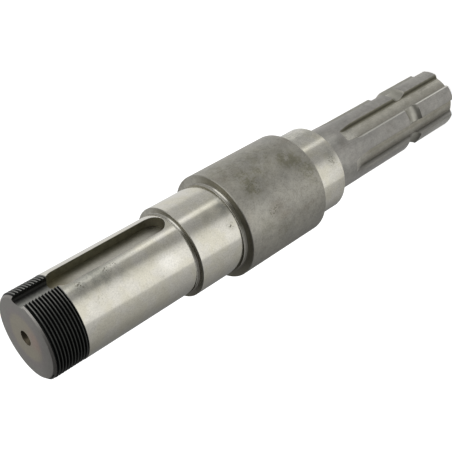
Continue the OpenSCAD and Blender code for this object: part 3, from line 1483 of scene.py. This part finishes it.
@dataclass
class Splines:
    """The splined end: six gaps milled along it, each with the cutter's run-out."""

    groove_at: float
    outer_r: float = 17.395
    minor_r: float = 14.455
    teeth: int = 6
    tooth_width: float = 8.6
    gap_length: float = 91.0
    cutter_r: float = 25.0
    turn: float = -87.5
    burred_break: float = 0.5
    clean_break: float = 0.06
    break_slope: float = 2.0
    floor_corner: float = 0.3
    groove_r: float = 6.8
    groove_bottom_r: float = 14.7
    chamfer_length: float = 2.5
    chamfer_angle: float = 60.0
    neck_fillet: float = 1.5
    reach: float = 1.5
    floor_steps: int = 8
    runout_steps: int = 28

    @property
    def tip_r(self) -> float:
        """Radius at which the chamfer meets the end face."""
        return self.outer_r - self.chamfer_length * math.tan(math.radians(self.chamfer_angle))

    @property
    def half_floor(self) -> float:
        """Half of a gap floor's angle about the axis."""
        return math.pi / self.teeth - math.asin(self.tooth_width / 2 / self.minor_r)

    def half_gap(self, y: float) -> float:
        """Half of a gap's width at a height over the axis."""
        half_pitch = math.pi / self.teeth
        return y * math.tan(half_pitch) - self.tooth_width / 2 / math.cos(half_pitch)

    def flank(self, corner_break: float) -> list[tuple[float, float]]:
        """One side of a gap's section.

        Args:
            corner_break: How far the tooth's corner is broken.

        Returns:
            Its points from beyond the mouth down to the floor's corner.
        """
        rise = self.minor_r * math.cos(self.half_floor) + self.floor_corner
        corner = math.asin(self.half_gap(self.outer_r) / self.outer_r)
        bend = self.outer_r * math.cos(corner) - corner_break
        mouth = self.outer_r + self.reach
        flared = self.half_gap(bend) + self.break_slope * (mouth - bend)
        return [(flared, mouth), (self.half_gap(bend), bend), (self.half_gap(rise), rise)]

    def section(self) -> tuple[list[tuple[float, float]], list[Finish]]:
        """One gap's section, opening towards +Y.

        Returns:
            Its points from the right mouth over the floor to the left mouth, and the finish after each.
        """
        reach = self.half_floor - self.floor_corner / self.minor_r
        angles = [reach * (1 - 2 * i / self.floor_steps) for i in range(self.floor_steps + 1)]
        floor = [(self.minor_r * math.sin(angle), self.minor_r * math.cos(angle)) for angle in angles]
        left = [(-x, y) for x, y in reversed(self.flank(self.clean_break))]
        kinds = [Finish.BURR, Finish.FLANK, Finish.FLANK]
        kinds += [Finish.GAP_FLOOR] * self.floor_steps + [Finish.GAP_WALL] * 4
        return self.flank(self.burred_break) + floor + left, kinds

    def gap_cutter(self) -> Surface:
        """What one pass of the gap's mill takes out: a straight run, then its lift.

        Returns:
            A closed surface.
        """
        centre = self.minor_r + self.cutter_r
        lift = math.sqrt(self.cutter_r**2 - (centre - self.outer_r) ** 2)
        straight = self.gap_length - lift
        full = math.acos((centre - self.outer_r - self.reach) / self.cutter_r)
        stations = [(-self.reach, 0.0)]
        stations += [(straight, full * i / self.runout_steps) for i in range(self.runout_steps + 1)]
        section, kinds = self.section()
        arms = [(x, centre - y) for x, y in section]
        surface = Surface()
        rings = []
        for z, angle in stations:
            cos, sin = math.cos(angle), math.sin(angle)
            rings.append(surface.ring([(x, centre - arm * cos, z + arm * sin) for x, arm in arms]))
        surface.skin(rings, [kinds] * (len(rings) - 1))
        surface.cap(rings, Finish.GAP_FLOOR)
        return surface

    def tree(self, cutter: bpy.types.Object, materials: Materials) -> ShapeTree:
        """Draw the geometry tree that sets the gaps around the shaft.

        Args:
            cutter: One gap's cutter.
            materials: The material of each finish.

        Returns:
            The tree.
        """
        values = {
            "Cutter": cutter,
            "Teeth": self.teeth,
            "Turn": math.radians(self.turn - 90),
            "Floor Material": materials[Finish.GAP_FLOOR],
            "Wall Material": materials[Finish.GAP_WALL],
            "Burr Material": materials[Finish.BURR],
            "Flank Material": materials[Finish.FLANK],
        }
        tree = ShapeTree("spline_gaps", values)
        given = tree.given
        shape = tree.node("GeometryNodeObjectInfo", {}, {"Object": given["Cutter"]}).outputs["Geometry"]
        middle = {"Count": given["Teeth"], "Position": (0.0, 0.0, 0.0)}
        points = tree.node("GeometryNodePoints", {}, middle).outputs[0]
        turned = given["Turn"] + (tree.index + 0.5) * (2 * math.pi) / given["Teeth"]
        placed = {"Points": points, "Instance": shape, "Rotation": tree.vector(0.0, 0.0, turned)}
        spread = tree.node("GeometryNodeInstanceOnPoints", {}, placed)
        marked = {
            Finish.GAP_WALL: given["Wall Material"],
            Finish.BURR: given["Burr Material"],
            Finish.FLANK: given["Flank Material"],
        }
        tree.finish(spread.outputs[0], given["Floor Material"], marked)
        return tree

    def gaps(self, materials: Materials) -> bpy.types.Object:
        """Make the six gap cutters.

        Args:
            materials: The material of each finish.

        Returns:
            One object with the space that all gaps take out.
        """
        cutter = self.gap_cutter().to_object("gap_cutter", materials)
        marks = cutter.data.attributes.new(FINISH_MARK, "INT", "FACE")
        marks.data.foreach_set("value", [face.material_index for face in cutter.data.polygons])
        mesh = self.tree(cutter, materials).run()
        bpy.data.objects.remove(cutter)
        return linked("spline_gaps", mesh)


@dataclass
class DriveShaft:
    """The whole shaft: turned to its profile, threaded, then milled."""

    relief_depth: float = 0.4
    relief_corner: float = 0.5
    relief_angle: float = 30.0
    seat_chamfer: float = 0.3
    collar_chamfer: float = 0.3
    key_land: float = 2.1
    slot_reach: float = 2.0
    groove_steps: int = 16

    def __post_init__(self) -> None:
        """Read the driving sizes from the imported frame."""
        low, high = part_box(NODE)
        self.length = high[2] / MM
        self.collar_r = round(high[0] / MM, 1)
        self.key_r, self.key_start, self.thread_start = wall_of("key_seat")
        self.front_r, self.front_start, self.front_end = wall_of("front_bearing_seat")
        self.rear_r, self.rear_start, self.rear_end = wall_of("rear_bearing_seat")
        self.key_shoulder = height_of("key_seat_shoulder")
        self.front_shoulder = height_of("front_shoulder")
        self.rear_shoulder = height_of("rear_shoulder")
        self.taper = self.relief_depth / math.tan(math.radians(self.relief_angle))
        self.centre = CentreHole()
        self.thread = ThreadedEnd(end=self.length, start=self.thread_start)
        self.keyway = Keyway(self.key_r, self.key_shoulder + self.key_land, self.length + self.slot_reach)
        self.splines = Splines(groove_at=height_of("spline"))

    def _seat_above(self, p: TurnedProfile, seat_r: float, shoulder: float, start: float) -> None:
        """Draw a shoulder that faces up, its relief groove and the start of the seat over it.

        Args:
            p: The profile.
            seat_r: Radius of the seat.
            shoulder: Height of the shoulder.
            start: Height at which the seat's plain wall starts.
        """
        floor = seat_r - self.relief_depth
        corner = self.relief_corner
        p.to(floor + corner, shoulder, Finish.FACED)
        p.arc(floor + corner, shoulder + corner, corner, 270, 180, Finish.RELIEF)
        p.to(floor, start - self.taper, Finish.UNDERCUT)
        p.to(seat_r, start, Finish.UNDERCUT)

    def _draw_splined_end(self, p: TurnedProfile, neck: float) -> None:
        """Draw the splined end, its locking groove and its neck.

        Args:
            p: The profile.
            neck: Height at which the splined end meets the rear seat.
        """
        s = self.splines
        p.to(s.outer_r, s.chamfer_length, Finish.SPLINE)
        groove_centre = s.groove_bottom_r + s.groove_r
        half = math.degrees(math.acos((groove_centre - s.outer_r) / s.groove_r))
        p.to(s.outer_r, s.groove_at - s.groove_r * math.sin(math.radians(half)), Finish.SPLINE)
        around = (180 + half, 180 - half)
        p.arc(groove_centre, s.groove_at, s.groove_r, *around, Finish.GROOVE, self.groove_steps)
        p.arc(s.outer_r + s.neck_fillet, neck - s.neck_fillet, s.neck_fillet, 180, 90, Finish.SPLINE)

    def profile(self) -> TurnedProfile:
        """Draw the turned section, from the splined end up to the thread.

        Returns:
            The profile.
        """
        c, neck = self.centre, self.rear_start - self.seat_chamfer
        countersink, tip = c.heights()
        p = TurnedProfile(0.0, tip)
        p.to(c.pilot_r, c.depth, Finish.CENTRE).to(c.pilot_r, countersink, Finish.CENTRE)
        p.to(c.countersink_r, 0.0, Finish.CENTRE).to(self.splines.tip_r, 0.0, Finish.FACED)
        self._draw_splined_end(p, neck)
        p.to(self.rear_r - self.seat_chamfer, neck, Finish.FACED)
        p.to(self.rear_r, self.rear_start, Finish.RIM)
        p.to(self.rear_r, self.rear_end, Finish.GROUND)
        floor = self.rear_r - self.relief_depth
        p.to(floor, self.rear_end + self.taper, Finish.RELIEF)
        corner = self.relief_corner
        p.arc(floor + corner, self.rear_shoulder - corner, corner, 180, 90, Finish.FACED)
        p.to(self.collar_r - self.collar_chamfer, self.rear_shoulder, Finish.FACED)
        p.to(self.collar_r, self.rear_shoulder + self.collar_chamfer, Finish.RIM)
        p.to(self.collar_r, self.front_shoulder - self.collar_chamfer, Finish.ROUGH_TURNED)
        p.to(self.collar_r - self.collar_chamfer, self.front_shoulder, Finish.RIM)
        self._seat_above(p, self.front_r, self.front_shoulder, self.front_start)
        p.to(self.front_r, self.front_end, Finish.GROUND)
        p.to(self.front_r - self.seat_chamfer, self.key_shoulder, Finish.RIM)
        self._seat_above(p, self.key_r, self.key_shoulder, self.key_start)
        p.to(self.key_r, self.thread_start, Finish.GROUND)
        return p.to(self.thread.crest_r, self.thread_start, Finish.BLACK_THREAD)

    def end_profile(self) -> TurnedProfile:
        """Draw the threaded end's face and centre hole.

        Returns:
            The profile, from the thread's rim to the axis.
        """
        c = self.centre
        countersink, tip = c.heights()
        p = TurnedProfile(self.thread.face_r, self.length)
        p.to(c.countersink_r, self.length, Finish.TINTED_END)
        p.to(c.pilot_r, self.length - countersink, Finish.CENTRE)
        p.to(c.pilot_r, self.length - c.depth, Finish.CENTRE)
        return p.to(0.0, self.length - tip, Finish.CENTRE)

    def build(self, materials: Materials) -> bpy.types.Object:
        """Turn, thread and mill the shaft.

        Args:
            materials: The material of each finish.

        Returns:
            The finished piece.
        """
        blank = self.profile().revolved()
        blank.add(self.thread.surface(materials[Finish.BLACK_THREAD]))
        blank.add(self.end_profile().revolved())
        shaft = blank.to_object("shaft_body", materials)
        cutters = [
            self.keyway.key_cutter().to_object("key_cutter", materials),
            self.keyway.slot_cutter().to_object("slot_cutter", materials),
            self.splines.gaps(materials),
        ]
        for cutter in cutters:
            cut = shaft.modifiers.new(cutter.name, "BOOLEAN")
            cut.operation, cut.solver, cut.object = "DIFFERENCE", "EXACT", cutter
            cut.material_mode = "TRANSFER"
        mesh = evaluated(shaft, "shaft_body")
        shaft.modifiers.clear()
        shaft.data = mesh
        for cutter in cutters:
            bpy.data.objects.remove(cutter)
        mesh.shade_smooth()
        mesh.set_sharp_from_angle(angle=SHARP_ANGLE)
        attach(shaft, "root")
        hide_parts(NODE)
        return shaft


# Studio


@dataclass
class Camera:
    """The photograph's view, as seen from the shaft."""

    azimuth: float = -137.5
    elevation: float = 33.669
    roll: float = -120.921
    distance: float = 395.07
    aim_height: float = 171.025
    aim_aside: float = 2.682
    lens: float = 66.009
    clip: tuple[float, float] = (0.01, 50.0)

    def build(self) -> bpy.types.Object:
        """Set the camera up.

        Returns:
            The camera.
        """
        turn, lift = math.radians(self.azimuth), math.radians(self.elevation)
        back = Vector((math.cos(turn) * math.cos(lift), math.sin(turn) * math.cos(lift), math.sin(lift)))
        aside = Vector((math.sin(turn), -math.cos(turn), 0.0))
        aim = Vector((0.0, 0.0, self.aim_height)) + aside * self.aim_aside
        data = bpy.data.cameras.new("camera")
        data.lens = self.lens
        data.clip_start, data.clip_end = self.clip
        camera = linked("camera", data)
        level = back.to_track_quat("Z", "Y").to_matrix().to_4x4()
        rolled = level @ Matrix.Rotation(math.radians(self.roll), 4, "Z")
        camera.matrix_world = Matrix.Translation((aim + back * self.distance) * MM) @ rolled
        bpy.context.scene.camera = camera
        return camera


@dataclass
class Studio:
    """A pale floor, a soft light overhead and a tent whose panels the metal mirrors.

    Each ring of panels gives their angles from the camera's side, in degrees, and their levels.
    """

    floor_size: float = 6.0
    floor_tone: Tone = (0.9, 0.9, 0.9)
    floor_glow: float = 0.6
    tent_radius: float = 3.0
    tent_height: float = 0.14
    tent_subdivisions: int = 4
    view_azimuth: float = -137.5
    low_panels: Panels = (
        *((-180.0, 0.72), (-156.0, 0.76), (-145.0, 0.84), (-120.0, 0.88), (-104.0, 0.82), (-94.0, 0.6)),
        *((-76.0, 0.56), (-62.0, 0.56), (-57.5, 0.8), (-52.5, 1.25), (-47.5, 1.1), (-42.5, 0.53)),
        *((-30.0, 0.43), (-16.0, 0.41), (-8.0, 0.5), (-2.0, 0.74), (8.0, 0.96), (18.0, 1.08)),
        *((40.0, 1.1), (56.0, 1.02), (61.0, 0.66), (80.0, 0.53), (100.0, 0.45), (120.0, 0.33)),
        *((145.0, 0.24), (158.0, 0.2), (179.5, 0.22)),
    )
    deep_panels: Panels = (
        *((-180.0, 0.98), (-145.0, 0.94), (-120.0, 0.66), (-100.0, 0.62), (-80.0, 0.57), (-50.0, 0.58)),
        *((-30.0, 0.46), (-16.0, 0.42), (0.0, 0.5), (20.0, 0.52), (40.0, 0.47), (60.0, 0.22)),
        *((80.0, 0.22), (100.0, 0.32), (120.0, 0.4), (140.0, 0.52), (160.0, 0.58), (179.5, 0.68)),
    )
    high_panels: Panels = (
        *((-180.0, 0.6), (-80.0, 0.55), (-30.0, 0.14), (150.0, 0.1), (170.0, 0.2), (179.5, 0.5)),
    )
    top_panels: Panels = (
        *((-180.0, 0.5), (-140.0, 1.0), (-90.0, 1.9), (-40.0, 1.6), (-10.0, 0.5), (30.0, 0.15)),
        *((120.0, 0.12), (179.5, 0.35)),
    )
    nadir: tuple[float, float] = (-0.82, -0.95)
    nadir_level: float = 0.9
    deep_below: tuple[float, float] = (-0.66, -0.71)
    horizon: tuple[float, float] = (0.02, 0.2)
    top_above: tuple[float, float] = (0.55, 0.72)
    slant: float = 54.0
    slant_rise: float = -0.57
    slant_turns: tuple[float, float] = (0.40, 0.46)
    slant_before: float = -0.3
    slant_fades: tuple[float, float] = (0.46, 0.33)
    fill_strength: float = 0.5
    lamp_size: float = 1.2
    lamp_power: float = 12.0
    lamp_place: Point = (-0.5, -0.4, 1.6)

    def floor(self) -> None:
        """Lay the floor."""
        half = self.floor_size / 2
        mesh = bpy.data.meshes.new("floor")
        corners = [(-half, -half, 0), (half, -half, 0), (half, half, 0), (-half, half, 0)]
        mesh.from_pydata(corners, [], [(0, 1, 2, 3)])
        material, graph = new_material("pale_floor")
        paper = graph.node("ShaderNodeBsdfDiffuse", {}, {"Color": opaque(self.floor_tone)})
        light = {"Color": opaque(WHITE), "Strength": self.floor_glow}
        glow = graph.node("ShaderNodeEmission", {}, light)
        both = graph.node("ShaderNodeAddShader", {}, {0: paper.outputs[0], 1: glow.outputs[0]})
        graph.close(graph.by_camera(paper, both))
        mesh.materials.append(material)
        floor = linked("floor", mesh)
        floor.visible_glossy = False

    def panels(self, graph: Graph) -> Signal:
        """Draw the light of the tent's panels.

        Args:
            graph: The graph of the tent's material.

        Returns:
            The colour of the light that each point sends.
        """
        x, y, z = graph.split(graph.out(graph.node("ShaderNodeTexCoord"), "Object"))
        heading = graph.math("ARCTAN2", y, x)
        aside = (math.radians(self.view_azimuth) - heading) / (2 * math.pi) + 0.5
        around = aside - aside.floor()
        rise = z / self.tent_radius

        def ring(panels: Panels, place: Signal) -> Signal:
            """The level of a ring's panels at a place around the tent."""
            return graph.tones(place, [((angle + 180) / 360, (level,) * 3) for angle, level in panels])

        sign = around.ramp(*self.slant_turns) * (1.0 - self.slant_before) + self.slant_before
        taper = (around - 0.5).size().ramp(*self.slant_fades)
        slanted = around + sign * taper * (rise - self.slant_rise) * (self.slant / 360)
        low = ring(self.low_panels, slanted)
        low = graph.mix(rise.ramp(*self.deep_below), low, ring(self.deep_panels, around))
        low = graph.mix(rise.ramp(*self.nadir), low, shade(WHITE, self.nadir_level))
        high = ring(self.high_panels, around)
        high = graph.mix(rise.ramp(*self.top_above), high, ring(self.top_panels, around))
        return graph.mix(rise.ramp(*self.horizon), low, high)

    def tent(self) -> None:
        """Put up the tent that only the metal sees."""
        mesh = bpy.data.meshes.new("tent")
        grown = bmesh.new()
        bmesh.ops.create_icosphere(grown, subdivisions=self.tent_subdivisions, radius=self.tent_radius)
        grown.to_mesh(mesh)
        grown.free()
        mesh.shade_smooth()
        material, graph = new_material("tent_panels")
        glow = {"Color": self.panels(graph), "Strength": 1.0}
        graph.close(graph.node("ShaderNodeEmission", {}, glow))
        material.cycles.emission_sampling = "NONE"
        mesh.materials.append(material)
        tent = linked("tent", mesh)
        tent.location.z = self.tent_height
        for ray in ("camera", "diffuse", "shadow", "transmission"):
            setattr(tent, f"visible_{ray}", False)

    def lights(self) -> None:
        """Hang the overhead light and fill the room."""
        world = bpy.data.worlds.new("room")
        world.use_nodes = True
        graph = Graph(world.node_tree)
        strengths = (self.fill_strength, 1.0)
        white = [{"Color": opaque(WHITE), "Strength": strength} for strength in strengths]
        fill, backdrop = (graph.node("ShaderNodeBackground", {}, values) for values in white)
        graph.close(graph.by_camera(fill, backdrop), "ShaderNodeOutputWorld")
        world.cycles.sampling_method = "NONE"
        bpy.context.scene.world = world
        data = bpy.data.lights.new("soft_top", "AREA")
        data.shape, data.size, data.energy = "DISK", self.lamp_size, self.lamp_power
        lamp = linked("soft_top", data)
        lamp.location = self.lamp_place
        lamp.rotation_euler = Vector(self.lamp_place).to_track_quat("Z", "Y").to_euler()
        lamp.visible_glossy = False

    def build(self) -> None:
        """Build the whole studio."""
        self.floor()
        self.tent()
        self.lights()
        bpy.context.scene.view_settings.view_transform = "Standard"


def main() -> None:
    """Build the camera, the shaft and the studio, and report each piece."""
    logging.basicConfig(level=logging.INFO, format="%(name)s: %(message)s")
    Camera().build()
    shaft = DriveShaft().build(finishes())
    log.info("%s: %d faces", shaft.name, len(shaft.data.polygons))
    Studio().build()


if __name__ == "__main__":
    main()
